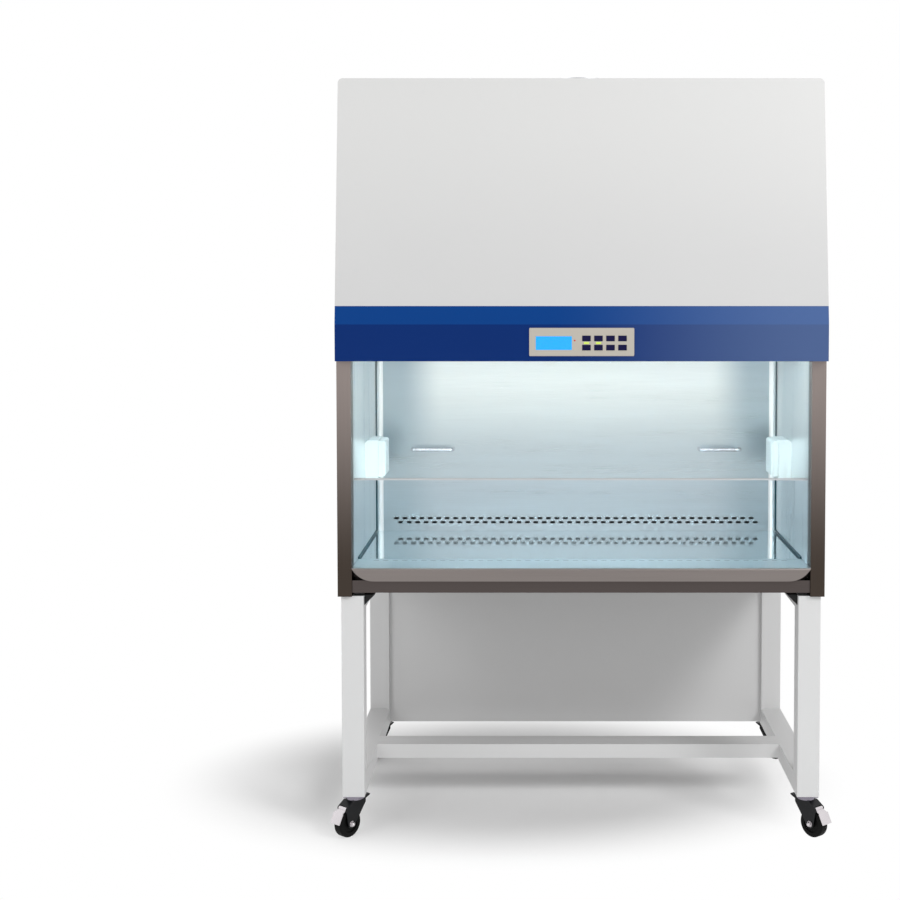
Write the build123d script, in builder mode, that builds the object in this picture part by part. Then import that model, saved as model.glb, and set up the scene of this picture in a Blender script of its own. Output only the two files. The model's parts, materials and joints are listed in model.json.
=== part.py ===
from build123d import *
import os
from math import cos, degrees, radians, sin, tan

# Class II biosafety cabinet on a stand with castors. Millimetres; x to the user's right, y to the back,
# z up from the floor. The origin is on the floor under the middle of the cabinet.

# Overall form
overall_width = 1300
casing_depth = 785
castor_height = 110
stand_height = 546
base_height = 74
opening_height = 557
fascia_height = 97
fascia_lean_height = 48
hood_height = 607
hood_lean = 8.25
work_height = 660

# Sheet metal and fits
sheet = 1.5
front_sheet = 2
tray_sheet = 2
panel_flange = 16
roof_skirt = 30
roof_radius = 13
slip = 0.5
pin_gap = 0.05

# Front posts and sash
band_proud = 30
post_width = 38
post_depth = 56.5
fascia_return = 38
sash_setback = 44
glass = 6
sash_gap = 233
sash_height = 600
sash_rise = 260
rail_height = 5
rail_wall = 1.5
guide_leg = 3.5
guide_web = 3
guide_overlap = 10
glass_edge_gap = 2
cable_lug = 10
cable_x = 560
cable_radius = 1.5
pulley_radius = 20
pulley_flange = 3
pulley_width = 14
shaft_radius = 6
shaft_headroom = 12

# Work zone
rear_plenum = 127
cove_radius = 20
tray_rim = 20
pan_ledge = 14
apron_setback = 4
apron_height = 33
armrest_proud = 10
armrest_depth = 150
armrest_height = 36
armrest_step = 5
armrest_fall = 3
armrest_round = 6
armrest_corner_width = 61
slot_pitch = 26
slot_length = 15.7
slot_height = 7
slot_row_gap = 12.6
slot_count = 44
slot_rise = 26
intake_slot_length = 15
intake_slot_width = 3
bar_length = 134
bar_radius = 6
bar_reach = 31
bar_x = 439
bar_rise = 254

# Socket boxes
box_depth = 37
box_width = 120
box_height = 115
box_rise = 196
box_setback = 325
box_round = 10
cover_depth = 20
cover_wall = 2
hinge_radius = 2
socket_radius = 19
socket_depth = 14

# Control panel
bezel_width = 276
bezel_height = 74
bezel_thickness = 2.5
bezel_rise = 51
key_proud = 1
key_width = 22
key_height = 14.3
key_pitch_x = 31.6
key_pitch_z = 24.1
key_block_x = 59.7
key_block_drop = 2.75
key_gap = 0.3
key_flange = 1
key_flange_thickness = 1.2
display_width = 95
display_height = 36
display_x = -73.5
display_drop = 3
lamp_hole = 1.6
board_standoff = 2.6
board_thickness = 1.6

# Air system
filter_height = 69
filter_frame = 20
plenum_front = 110
plenum_height = 430
duct_sheet = 1.2
exhaust_width = 500
exhaust_depth = 400
impeller_radius = 150
impeller_width = 90
impeller_hub = 25
blade_count = 9
blade_thickness = 2
blade_sweep = 34
shroud_fall = 18
inlet_radius = 92
nozzle_gap = 4
nozzle_depth = 34
motor_radius = 60
motor_length = 84
motor_shaft = 8
motor_gap = 6
blower_height = 220
tie_radius = 6
tie_offset = 128
bracket_sheet = 3
collar_radius = 100
collar_height = 30
collar_flange = 22

# Lamps
tube_radius = 8
lamp_reach = 92
lamp_drop = 30
lamp_length = 1150
uv_length = 600
uv_drop = 90
uv_reach = 42

# Stand
stand_inset = 8
leg_setback = 10
tube = 60
tube_wall = 2
lower_rail_height = 50
upper_rail_height = 40
rear_leg_inset = 14
cross_rail_depth = 80
cross_rail_height = 40
cross_rail_setback = 315
gusset = 28
stand_panel_setback = 15

# Castors
wheel_radius = 37.5
wheel_width = 26
axle_radius = 4
castor_trail = 28
castor_turn = 50
castor_plate = 56
castor_plate_thickness = 3
race_radius = 24
race_height = 9
kingpin_radius = 6
cheek = 3
cheek_gap = 1.5
crown_height = 11.5
swivel_gap = 0.3
pedal_pin_radius = 3
pedal_pivot_u = 42
pedal_pivot_z = 79
pedal_sheet = 2.5

# Gland for the mains lead
gland_bore = 6
gland_radius = 8
gland_nut = 14

# Heights
base_z = castor_height + stand_height
work_z = base_z + base_height
pan_rim_z = work_z - tray_rim
fascia_z = work_z + opening_height
crease_z = fascia_z + fascia_height
band_top_z = crease_z + fascia_lean_height
roof_z = band_top_z + hood_height
ceiling_z = work_z + work_height
sash_z = work_z + sash_gap
sash_top_z = sash_z + sash_height
shaft_z = sash_top_z + cable_lug + sash_rise + pulley_radius + shaft_headroom
bezel_z = fascia_z + bezel_rise
armrest_z = work_z + armrest_step

# Depths
back_y = (casing_depth + bezel_thickness + key_proud) / 2
band_y = back_y - casing_depth
post_y = band_y + band_proud
post_back_y = post_y + post_depth
sash_y = post_y + sash_setback
sash_mid_y = sash_y + glass / 2
guide_front_y = sash_y - slip - guide_leg
guide_back_y = sash_y + glass + slip + guide_leg
rear_wall_y = back_y - rear_plenum
armrest_front_y = post_y - armrest_proud
armrest_back_y = armrest_front_y + armrest_depth
plenum_y = post_y + plenum_front
shaft_y = sash_mid_y + cable_radius + pin_gap + pulley_radius

# Widths, from the middle
half_width = overall_width / 2
liner_x = half_width - post_width
glass_x = liner_x + guide_overlap
leg_x = half_width - stand_inset - tube / 2

lean = radians(hood_lean)


def lean_y(z, inset=0):
    """Depth of the leaning front at height z, with the inset taken square to it."""
    return band_y + (z - crease_z) * tan(lean) + inset / cos(lean)


def save(builder, name):
    """Labels a finished sub-part and writes it to its own file."""
    builder.part.label = name
    export_step(builder.part, f"parts/{name}.step")


os.makedirs("parts", exist_ok=True)

# Outer casing
side_top_z = roof_z - roof_skirt
side_outline = [
    (post_back_y, base_z),
    (back_y - sheet, base_z),
    (back_y - sheet, side_top_z),
    (lean_y(side_top_z, front_sheet), side_top_z),
    (lean_y(band_top_z, front_sheet), band_top_z),
    (post_y, band_top_z),
    (post_y, fascia_z + front_sheet),
    (post_back_y, fascia_z + front_sheet),
]
with BuildPart() as right_side_panel:
    with BuildSketch(Plane.YZ.offset(half_width - panel_flange)):
        with BuildLine():
            Polyline(*side_outline, close=True)
        make_face()
    extrude(amount=panel_flange)
    inner_face = right_side_panel.faces().sort_by(Axis.X)[0]
    offset(amount=-sheet, openings=inner_face)
save(right_side_panel, "right_side_panel")

with BuildPart() as left_side_panel:
    mirror(right_side_panel.part, about=Plane.YZ)
save(left_side_panel, "left_side_panel")

with BuildPart() as rear_panel:
    with BuildSketch(Plane.XZ.offset(-back_y)) as rear_outline:
        with Locations((0, (base_z + roof_z) / 2)):
            Rectangle(overall_width, roof_z - base_z)
        fillet(rear_outline.vertices().group_by(Axis.Y)[-1], roof_radius)
    extrude(amount=sheet)
save(rear_panel, "rear_panel")

exhaust_y = (plenum_y + rear_wall_y) / 2
gland_x = half_width - 4 * gland_nut
gland_y = back_y - 4 * gland_nut
lean_plane = Plane(
    origin=(0, lean_y(band_top_z, front_sheet), band_top_z),
    x_dir=(1, 0, 0),
    z_dir=(0, -cos(lean), sin(lean)),
)
with BuildPart() as top_panel:
    with BuildSketch(Plane.XZ.offset(sheet - back_y)) as roof_outline:
        with Locations((0, roof_z - roof_skirt / 2)):
            Rectangle(overall_width, roof_skirt)
        fillet(roof_outline.vertices().group_by(Axis.Y)[-1], roof_radius)
    extrude(amount=casing_depth - sheet)
    ends = top_panel.faces().filter_by(Axis.Y)
    underside = top_panel.faces().sort_by(Axis.Z)[0]
    offset(amount=-sheet, openings=[*ends, underside])
    split(bisect_by=lean_plane, keep=Keep.BOTTOM)
    with Locations((0, exhaust_y, roof_z)):
        Hole(radius=collar_radius - front_sheet, depth=roof_skirt)
    with Locations((gland_x, gland_y, roof_z)):
        Hole(radius=gland_radius + pin_gap, depth=roof_skirt)
save(top_panel, "top_panel")

with BuildPart() as hood_front_panel:
    with BuildSketch(lean_plane) as hood_outline:
        with Locations((0, hood_height / cos(lean) / 2)):
            Rectangle(overall_width, hood_height / cos(lean))
        fillet(hood_outline.vertices().group_by(Axis.Y)[-1], roof_radius)
    extrude(amount=front_sheet)
save(hood_front_panel, "hood_front_panel")

# Control fascia: a folded sheet with a vertical facet, a leaning one and a return under the hood
inner_crease_z = crease_z - front_sheet * (1 / cos(lean) - 1) / tan(lean)
fascia_profile = [
    (post_y + fascia_return, fascia_z),
    (band_y, fascia_z),
    (band_y, crease_z),
    (lean_y(band_top_z), band_top_z),
    (lean_y(band_top_z, front_sheet), band_top_z),
    (band_y + front_sheet, inner_crease_z),
    (band_y + front_sheet, fascia_z + front_sheet),
    (post_y + fascia_return, fascia_z + front_sheet),
]
cap_profile = [
    (post_y, fascia_z),
    (band_y, fascia_z),
    (band_y, crease_z),
    (lean_y(band_top_z), band_top_z),
    (post_y, band_top_z),
]
with BuildPart() as control_fascia:
    with BuildSketch(Plane.YZ):
        with BuildLine():
            Polyline(*fascia_profile, close=True)
        make_face()
    extrude(amount=half_width, both=True)
    for side in (-half_width, half_width - front_sheet):
        with BuildSketch(Plane.YZ.offset(side)):
            with BuildLine():
                Polyline(*cap_profile, close=True)
            make_face()
        extrude(amount=front_sheet)
    with Locations((0, band_y, bezel_z)):
        Box(bezel_width - bezel_height / 3, 4 * front_sheet, bezel_height - 12, mode=Mode.SUBTRACT)
save(control_fascia, "control_fascia")

# Control panel: bezel, display window, keys and the board behind them
bezel_plane = Plane(origin=(0, band_y, bezel_z), x_dir=(1, 0, 0), z_dir=(0, -1, 0))
key_places = GridLocations(key_pitch_x, key_pitch_z, 4, 2)
key_centres = [(key_block_x + p.position.X, p.position.Y - key_block_drop) for p in key_places]
key_centres.sort(key=lambda place: (-place[1], place[0]))
first_lamp = (key_block_x - 2 * key_pitch_x - key_width / 2 - 4, key_block_drop + 1)
second_lamp = (key_centres[0][0], -key_block_drop)
third_lamp = (key_centres[1][0], -key_block_drop)
lamp_places = [first_lamp, second_lamp, third_lamp]
board_width = bezel_width - bezel_height / 3 - 2
board_height = bezel_height - 14
standoffs = [p.position for p in GridLocations(board_width - 6, board_height - 6, 2, 2)]

with BuildPart() as panel_bezel:
    with BuildSketch(bezel_plane):
        RectangleRounded(bezel_width, bezel_height, 3)
        with Locations((display_x, -display_drop)):
            Rectangle(display_width, display_height, mode=Mode.SUBTRACT)
        with Locations(*key_centres):
            Rectangle(key_width + 2 * key_gap, key_height + 2 * key_gap, mode=Mode.SUBTRACT)
        with Locations(*lamp_places):
            Circle(lamp_hole, mode=Mode.SUBTRACT)
    extrude(amount=bezel_thickness)
    with BuildSketch(bezel_plane):
        with Locations(*standoffs):
            Circle(2.5)
    extrude(amount=-board_standoff)
save(panel_bezel, "panel_bezel")

window_thickness = bezel_thickness - 0.5
with BuildPart() as display_window:
    with BuildSketch(bezel_plane):
        with Locations((display_x, -display_drop)):
            Rectangle(display_width, display_height)
    extrude(amount=window_thickness)
save(display_window, "display_window")

with BuildPart() as control_board:
    with BuildSketch(bezel_plane.offset(-board_standoff)):
        Rectangle(board_width, board_height)
    extrude(amount=-board_thickness)
    with BuildSketch(bezel_plane.offset(-board_standoff)):
        with Locations((display_x, -display_drop)):
            Rectangle(display_width - 6, display_height - 6)
    extrude(amount=board_standoff)
    with BuildSketch(bezel_plane.offset(-board_standoff)):
        with Locations(*lamp_places):
            Circle(lamp_hole - 0.1)
    extrude(amount=board_standoff + bezel_thickness)
save(control_board, "control_board")

for number, (key_x, key_drop) in enumerate(key_centres, 1):
    with BuildPart() as key:
        with BuildSketch(bezel_plane.offset(-key_gap)):
            with Locations((key_x, key_drop)):
                RectangleRounded(key_width, key_height, 2)
        extrude(amount=bezel_thickness + key_proud + key_gap)
        with BuildSketch(bezel_plane.offset(-0.1)):
            with Locations((key_x, key_drop)):
                Rectangle(key_width + 2 * key_flange, key_height + 2 * key_flange)
        extrude(amount=-key_flange_thickness)
    save(key, f"key_{number}")

# Front posts: folded brushed sheet on each side of the opening
with BuildPart() as front_posts:
    with BuildSketch(Plane.XY.offset(base_z)):
        with Locations((half_width - post_width / 2, post_y + sheet / 2)):
            Rectangle(post_width, sheet)
        with Locations((half_width - sheet / 2, post_y + post_depth / 2)):
            Rectangle(sheet, post_depth)
        with Locations((liner_x + sheet / 2, (post_y + guide_front_y) / 2)):
            Rectangle(sheet, guide_front_y - post_y)
    extrude(amount=fascia_z - base_z)
    mirror(about=Plane.YZ)
save(front_posts, "front_posts")

# Base pan with its front apron, under the work surface
pan_x = liner_x + sheet
armrest_bottom_z = armrest_z - armrest_height
apron_z = armrest_bottom_z - apron_height
pan_front_y = post_back_y + slip
pan_length = back_y - sheet - pan_front_y
pan_mid_y = pan_front_y + pan_length / 2
apron_y = post_y + apron_setback
apron_length = pan_front_y + tray_sheet - apron_y
with BuildPart() as base_pan:
    with Locations((0, pan_mid_y, base_z)):
        Box(2 * pan_x, pan_length, pan_rim_z - base_z, align=(Align.CENTER, Align.CENTER, Align.MIN))
    with Locations((0, pan_mid_y, base_z + tray_sheet)):
        Box(
            2 * (pan_x - tray_sheet),
            pan_length - 2 * tray_sheet,
            pan_rim_z - base_z - 2 * tray_sheet,
            align=(Align.CENTER, Align.CENTER, Align.MIN),
            mode=Mode.SUBTRACT,
        )
    with Locations((0, pan_mid_y, base_z + tray_sheet)):
        Box(
            2 * (pan_x - pan_ledge),
            pan_length - 2 * pan_ledge,
            pan_rim_z,
            align=(Align.CENTER, Align.CENTER, Align.MIN),
            mode=Mode.SUBTRACT,
        )
    with Locations((0, apron_y, apron_z)):
        Box(2 * (liner_x - slip), apron_length, apron_height, align=(Align.CENTER, Align.MIN, Align.MIN))
    with Locations((0, apron_y + tray_sheet, apron_z + tray_sheet)):
        Box(
            2 * (liner_x - slip - tray_sheet),
            apron_length - 2 * tray_sheet,
            apron_height,
            align=(Align.CENTER, Align.MIN, Align.MIN),
            mode=Mode.SUBTRACT,
        )
save(base_pan, "base_pan")

# Armrest: a folded sheet whose front face has rounded lower corners, with intake slots at the back
armrest_back_z = armrest_z - armrest_fall
armrest_profile = [
    (armrest_front_y, armrest_bottom_z),
    (armrest_front_y, armrest_z),
    (armrest_back_y, armrest_back_z),
    (armrest_back_y, pan_rim_z),
    (armrest_back_y - tray_sheet, pan_rim_z),
    (armrest_back_y - tray_sheet, armrest_back_z - tray_sheet),
    (armrest_front_y + tray_sheet, armrest_z - tray_sheet),
    (armrest_front_y + tray_sheet, armrest_bottom_z + tray_sheet),
    (apron_y + tray_sheet, armrest_bottom_z + tray_sheet),
    (apron_y + tray_sheet, armrest_bottom_z),
]
armrest_x = liner_x - slip
corner_x = armrest_x - armrest_corner_width
with BuildPart() as armrest_grille:
    with BuildSketch(Plane.YZ) as armrest_section:
        with BuildLine():
            Polyline(*armrest_profile, close=True)
        make_face()
        nose = armrest_section.vertices().sort_by_distance((armrest_front_y, armrest_z))[0]
        fillet(nose, armrest_round)
    extrude(amount=armrest_x, both=True)
    for side in (-1, 1):
        with BuildSketch(Plane.XZ.offset(-apron_y - tray_sheet)):
            with BuildLine():
                foot = (side * corner_x, armrest_bottom_z)
                top = (side * armrest_x, armrest_z - tray_sheet)
                corner = (side * armrest_x, armrest_bottom_z)
                Bezier(foot, (side * (armrest_x - armrest_corner_width / 3), armrest_bottom_z), top)
                Polyline(top, corner, foot)
            make_face()
        extrude(amount=3 * armrest_proud, mode=Mode.SUBTRACT)
    with BuildSketch(Plane.XY.offset(armrest_z)):
        with GridLocations(slot_pitch, 1, slot_count, 1) as intake_places:
            with Locations((0, armrest_back_y - slot_rise)):
                SlotOverall(intake_slot_length, intake_slot_width)
    extrude(amount=-armrest_fall - 2 * tray_sheet, mode=Mode.SUBTRACT)
save(armrest_grille, "armrest_grille")

# Work surface: a shallow upturned tray on the pan's ledges
surface_gap = 1
surface_front_y = armrest_back_y + slip
surface_length = rear_wall_y - surface_gap - surface_front_y
with BuildPart() as work_surface:
    with BuildSketch(Plane.XY.offset(work_z)) as surface_outline:
        with Locations((0, surface_front_y + surface_length / 2)):
            Rectangle(2 * (liner_x - surface_gap), surface_length)
        fillet(surface_outline.vertices().group_by(Axis.Y)[-1], cove_radius - surface_gap)
    extrude(amount=-tray_rim)
    offset(amount=-tray_sheet, openings=work_surface.faces().sort_by(Axis.Z)[0])
save(work_surface, "work_surface")

# Rear wall with two staggered rows of return slots
cove_x = liner_x - cove_radius
with BuildPart() as rear_wall:
    with BuildSketch(Plane.XZ.offset(-rear_wall_y)):
        with Locations((0, (pan_rim_z + ceiling_z) / 2)):
            Rectangle(2 * cove_x, ceiling_z - pan_rim_z)
        with Locations((slot_pitch / 4, work_z + slot_rise)):
            with GridLocations(slot_pitch, 1, slot_count - 1, 1):
                SlotOverall(slot_length, slot_height, mode=Mode.SUBTRACT)
        with Locations((-slot_pitch / 4, work_z + slot_rise + slot_row_gap)):
            with GridLocations(slot_pitch, 1, slot_count - 1, 1):
                SlotOverall(slot_length, slot_height, mode=Mode.SUBTRACT)
    extrude(amount=-sheet)
save(rear_wall, "rear_wall")

# Side walls with coved rear corners that meet the rear wall
with BuildPart() as side_walls:
    with BuildSketch(Plane.XY.offset(pan_rim_z)):
        with BuildLine():
            bend = (cove_x, rear_wall_y - cove_radius)
            Line((liner_x, guide_back_y), (liner_x, bend[1]))
            CenterArc(bend, cove_radius, 0, 90)
            Line((cove_x, rear_wall_y), (cove_x, rear_wall_y + sheet))
            CenterArc(bend, cove_radius + sheet, 0, 90)
            Line((liner_x + sheet, bend[1]), (liner_x + sheet, guide_back_y))
            Line((liner_x + sheet, guide_back_y), (liner_x, guide_back_y))
        make_face()
    extrude(amount=ceiling_z - pan_rim_z)
    mirror(about=Plane.YZ)
save(side_walls, "side_walls")

# Rear wall bars: short round bars bent back to the wall at both ends
with BuildPart() as rear_wall_bars:
    for side in (-bar_x, bar_x):
        with BuildLine() as bar_path:
            start = (side - bar_length / 2 + bar_radius, rear_wall_y, work_z + bar_rise)
            end = (side + bar_length / 2 - bar_radius, rear_wall_y, work_z + bar_rise)
            reach = Vector(0, -bar_reach, 0)
            corners = [Vector(*start), Vector(*start) + reach, Vector(*end) + reach, Vector(*end)]
            FilletPolyline(*corners, radius=2 * bar_radius)
        with BuildSketch(Plane(origin=start, z_dir=(0, -1, 0))):
            Circle(bar_radius)
        sweep()
save(rear_wall_bars, "rear_wall_bars")

# Ceiling: diffuser sheet on the side walls, with the supply filter on it
with BuildPart() as ceiling_diffuser:
    diffuser_length = rear_wall_y + sheet - guide_back_y - slip
    with Locations((0, guide_back_y + slip, ceiling_z)):
        Box(2 * pan_x, diffuser_length, sheet, align=(Align.CENTER, Align.MIN, Align.MIN))
save(ceiling_diffuser, "ceiling_diffuser")

# Filters: the supply filter on the diffuser and the exhaust filter on the plenum, pleats set back in frames
filter_z = ceiling_z + sheet
plenum_z = filter_z + filter_height
plenum_top_z = plenum_z + plenum_height
plenum_length = rear_wall_y - plenum_y
plenum_mid_y = plenum_y + plenum_length / 2
filter_sizes = [(filter_z, plenum_mid_y, 2 * (liner_x - sheet), plenum_length)]
filter_sizes += [(plenum_top_z, exhaust_y, exhaust_width, exhaust_depth)]
with BuildPart() as filters:
    for bottom_z, mid_y, width, depth in filter_sizes:
        with Locations((0, mid_y, bottom_z)):
            Box(width, depth, filter_height, align=(Align.CENTER, Align.CENTER, Align.MIN))
        with Locations((0, mid_y, bottom_z), (0, mid_y, bottom_z + filter_height)):
            Box(width - 2 * filter_frame, depth - 2 * filter_frame, filter_frame, mode=Mode.SUBTRACT)
save(filters, "filters")

# Pressure plenum: sheet box on the supply filter, open to both filters, with the blower's inlet nozzle
blower_z = plenum_z + blower_height
nozzle_throat = inlet_radius - nozzle_gap
with BuildPart() as pressure_plenum:
    plenum_x = half_width - sheet
    with Locations((0, plenum_mid_y, plenum_z)):
        Box(2 * plenum_x, plenum_length, plenum_height, align=(Align.CENTER, Align.CENTER, Align.MIN))
    with Locations((0, plenum_mid_y, plenum_z + duct_sheet)):
        Box(
            2 * (plenum_x - duct_sheet),
            plenum_length - 2 * duct_sheet,
            plenum_height - 2 * duct_sheet,
            align=(Align.CENTER, Align.CENTER, Align.MIN),
            mode=Mode.SUBTRACT,
        )
    with Locations((0, plenum_mid_y, plenum_z)):
        Box(2 * (liner_x - 2 * filter_frame), plenum_length - 2 * filter_frame, duct_sheet * 3, mode=Mode.SUBTRACT)
    with Locations((0, exhaust_y, plenum_top_z)):
        Box(exhaust_width - 2 * filter_frame, exhaust_depth - 2 * filter_frame, duct_sheet * 3, mode=Mode.SUBTRACT)
    nozzle_plane = Plane(origin=(0, rear_wall_y, blower_z), x_dir=(1, 0, 0), z_dir=(0, -1, 0))
    with Locations(nozzle_plane):
        Cylinder(nozzle_throat + nozzle_depth, 4 * duct_sheet, mode=Mode.SUBTRACT)
    mouth_radius = nozzle_throat + nozzle_depth
    with BuildSketch(Plane(origin=(0, rear_wall_y, blower_z), x_dir=(1, 0, 0), z_dir=(0, 0, 1))):
        with BuildLine():
            CenterArc((mouth_radius, -nozzle_depth), nozzle_depth, 90, 90)
            Line((mouth_radius, 0), (mouth_radius, -duct_sheet))
            CenterArc((mouth_radius, -nozzle_depth), nozzle_depth - duct_sheet, 90, 90)
            Line((nozzle_throat, -nozzle_depth), (nozzle_throat + duct_sheet, -nozzle_depth))
        make_face()
    revolve(axis=Axis((0, 0, blower_z), (0, 1, 0)))
save(pressure_plenum, "pressure_plenum")

# Blower: backward-curved impeller on the motor's shaft, the motor and the bracket that carries it
impeller_y = rear_wall_y - nozzle_depth + nozzle_gap - impeller_width
blower_plane = Plane(origin=(0, impeller_y, blower_z), x_dir=(1, 0, 0), z_dir=(0, 1, 0))
blower_side = Plane(origin=(0, impeller_y, blower_z), x_dir=(1, 0, 0), z_dir=(0, 0, 1))
blade_root = inlet_radius - nozzle_gap
blade_step = degrees(blade_thickness / impeller_radius)
shroud_mid = (inlet_radius + impeller_radius) / 2 - blade_thickness
shroud_mid_y = impeller_width - shroud_fall * 0.65
tip_radius = impeller_radius - blade_thickness
shroud_rim = impeller_width - shroud_fall
with BuildPart() as blower_impeller:
    with BuildSketch(blower_plane):
        Circle(impeller_radius)
    extrude(amount=blade_thickness)
    with BuildSketch(blower_plane):
        Circle(impeller_hub)
    extrude(amount=motor_gap - impeller_hub)
    with BuildSketch(blower_plane):
        Circle(motor_shaft)
    extrude(amount=-impeller_hub - 2 * motor_gap)
    for blade in range(blade_count):
        turn = blade * 360 / blade_count
        faces = []
        for edge_turn in (turn, turn + blade_step):
            root = Vector(blade_root, 0).rotate(Axis.Z, edge_turn)
            belly = Vector((blade_root + tip_radius) / 2, 0).rotate(Axis.Z, edge_turn + blade_sweep * 0.36)
            tip = Vector(tip_radius, 0).rotate(Axis.Z, edge_turn + blade_sweep)
            faces.append((root, belly, tip))
        with BuildSketch(blower_plane):
            with BuildLine():
                ThreePointArc(*faces[0])
                ThreePointArc(*faces[1])
                Line(faces[0][0], faces[1][0])
                Line(faces[0][2], faces[1][2])
            make_face()
        extrude(amount=impeller_width)
    # The blades end along the middle of the shroud's wall, and their inlet edges lean back from the eye
    with BuildSketch(blower_side):
        with BuildLine():
            eye_mid = (inlet_radius, impeller_width - blade_thickness / 2)
            rim_mid = (impeller_radius, shroud_rim - blade_thickness / 2)
            ThreePointArc(eye_mid, (shroud_mid, shroud_mid_y - blade_thickness / 2), rim_mid)
            Polyline(
                rim_mid,
                (impeller_radius + blade_thickness, rim_mid[1]),
                (impeller_radius + blade_thickness, impeller_width + blade_thickness),
                (blade_root - blade_thickness, impeller_width + blade_thickness),
                (blade_root - blade_thickness, shroud_rim),
                eye_mid,
            )
        make_face()
    revolve(axis=Axis((0, 0, blower_z), (0, 1, 0)), mode=Mode.SUBTRACT)
    with BuildSketch(blower_side):
        with BuildLine():
            eye = (inlet_radius, impeller_width)
            rim = (impeller_radius, shroud_rim)
            rim_inside = (impeller_radius, shroud_rim - blade_thickness)
            eye_inside = (inlet_radius, impeller_width - blade_thickness)
            ThreePointArc(eye, (shroud_mid, shroud_mid_y), rim)
            Line(rim, rim_inside)
            ThreePointArc(rim_inside, (shroud_mid, shroud_mid_y - blade_thickness), eye_inside)
            Line(eye_inside, eye)
        make_face()
    revolve(axis=Axis((0, 0, blower_z), (0, 1, 0)))
save(blower_impeller, "blower_impeller")

motor_end_y = impeller_y - impeller_hub
motor_y = motor_end_y - motor_length
motor_plane = Plane(origin=(0, motor_y, blower_z), x_dir=(1, 0, 0), z_dir=(0, 1, 0))
with BuildPart() as blower_motor:
    with BuildSketch(motor_plane):
        Circle(motor_radius)
    extrude(amount=motor_length)
    fillet(blower_motor.edges().filter_by(GeomType.CIRCLE).sort_by(Axis.Y)[-1], motor_gap)
    with BuildSketch(motor_plane.offset(motor_length)):
        Circle(motor_shaft + pin_gap)
    extrude(amount=-motor_length / 2, mode=Mode.SUBTRACT)
save(blower_motor, "blower_motor")

with BuildPart() as motor_bracket:
    with BuildSketch(motor_plane):
        RectangleRounded(2 * (tie_offset + 2 * tie_radius), 2 * (tie_offset + 2 * tie_radius), 2 * tie_radius)
    extrude(amount=-bracket_sheet)
    with BuildSketch(motor_plane):
        with GridLocations(2 * tie_offset, 2 * tie_offset, 2, 2):
            Circle(tie_radius)
    extrude(amount=rear_wall_y - duct_sheet - motor_y)
save(motor_bracket, "motor_bracket")

# Exhaust collar with its guard, over the hole in the roof
with BuildPart() as exhaust_collar:
    with BuildSketch(Plane.XY.offset(roof_z)):
        with Locations((0, exhaust_y)):
            Circle(collar_radius + collar_flange)
            Circle(collar_radius - front_sheet, mode=Mode.SUBTRACT)
    extrude(amount=front_sheet)
    with BuildSketch(Plane.XY.offset(roof_z)):
        with Locations((0, exhaust_y)):
            Circle(collar_radius)
            Circle(collar_radius - front_sheet, mode=Mode.SUBTRACT)
    extrude(amount=collar_height)
    with BuildSketch(Plane.XY.offset(roof_z)):
        for ring in (collar_radius / 3, collar_radius * 2 / 3):
            with Locations((0, exhaust_y)):
                Circle(ring + front_sheet / 2)
                Circle(ring - front_sheet / 2, mode=Mode.SUBTRACT)
        with Locations((0, exhaust_y)):
            Rectangle(2 * collar_radius - front_sheet, front_sheet)
            Rectangle(front_sheet, 2 * collar_radius - front_sheet)
    extrude(amount=front_sheet)
save(exhaust_collar, "exhaust_collar")

with BuildPart() as power_gland:
    with BuildSketch(Plane.XY.offset(roof_z)):
        with Locations((gland_x, gland_y)):
            RegularPolygon(gland_nut, 6)
    extrude(amount=gland_nut / 2)
    with BuildSketch(Plane.XY.offset(roof_z)):
        with Locations((gland_x, gland_y)):
            Circle(gland_nut - 3)
    extrude(amount=gland_nut * 1.5)
    fillet(power_gland.edges().filter_by(GeomType.CIRCLE).sort_by(Axis.Z)[-1], 2)
    with BuildSketch(Plane.XY.offset(roof_z)):
        with Locations((gland_x, gland_y)):
            Circle(gland_radius)
    extrude(amount=-gland_nut)
    with Locations((gland_x, gland_y, roof_z + gland_nut * 1.5)):
        Hole(radius=gland_bore, depth=3 * gland_nut)
save(power_gland, "power_gland")

# Sash: glass with a thin bottom rail and a top rail that carries the cable lugs
rail_x = liner_x - rail_wall
rail_y = sash_y - rail_wall
rail_depth = glass + 2 * rail_wall
with BuildPart() as sash_glass:
    with Locations((0, sash_y, sash_z + rail_wall)):
        Box(2 * glass_x, glass, sash_height - rail_wall, align=(Align.CENTER, Align.MIN, Align.MIN))
save(sash_glass, "sash_glass")

with BuildPart() as sash_rails:
    with Locations((0, rail_y, sash_z)):
        Box(2 * rail_x, rail_depth, rail_height, align=(Align.CENTER, Align.MIN, Align.MIN))
    with Locations((0, rail_y, sash_top_z - 2 * rail_height)):
        Box(2 * rail_x, rail_depth, 2 * rail_height + rail_wall, align=(Align.CENTER, Align.MIN, Align.MIN))
    with Locations((0, sash_y, sash_z + rail_wall)):
        Box(2 * glass_x, glass, sash_height - rail_wall, align=(Align.CENTER, Align.MIN, Align.MIN), mode=Mode.SUBTRACT)
    with Locations((-cable_x, sash_y, sash_top_z), (cable_x, sash_y, sash_top_z)):
        Box(4 * glass, glass, cable_lug, align=(Align.CENTER, Align.MIN, Align.MIN))
save(sash_rails, "sash_rails")

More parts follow.
